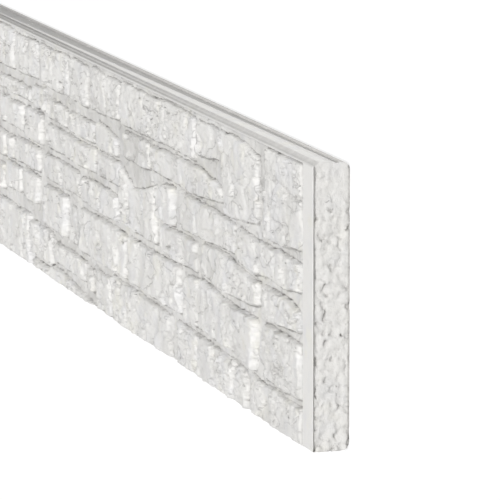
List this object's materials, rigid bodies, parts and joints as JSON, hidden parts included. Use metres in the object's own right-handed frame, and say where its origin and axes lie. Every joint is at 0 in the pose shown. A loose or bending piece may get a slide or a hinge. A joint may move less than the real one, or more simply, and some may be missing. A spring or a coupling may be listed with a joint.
{
  "type": "concrete gravel board",
  "caption": "Precast concrete gravel board with a split-stone face and smooth end strips that slide into slotted fence posts.",
  "frame": {"origin": "middle of the flat back, where the board lies on the floor", "axes": "+X along the board, +Y from its bottom edge to its top edge, +Z out of the stone face"},
  "size_m": [1.83, 0.305, 0.0484],
  "materials": {
    "concrete": "pale cast concrete, matt, smooth on the strips and rough on the stones and ends"
  },
  "bodies": {
    "root": {"gravel_board": "concrete"}
  },
  "joints": []
}
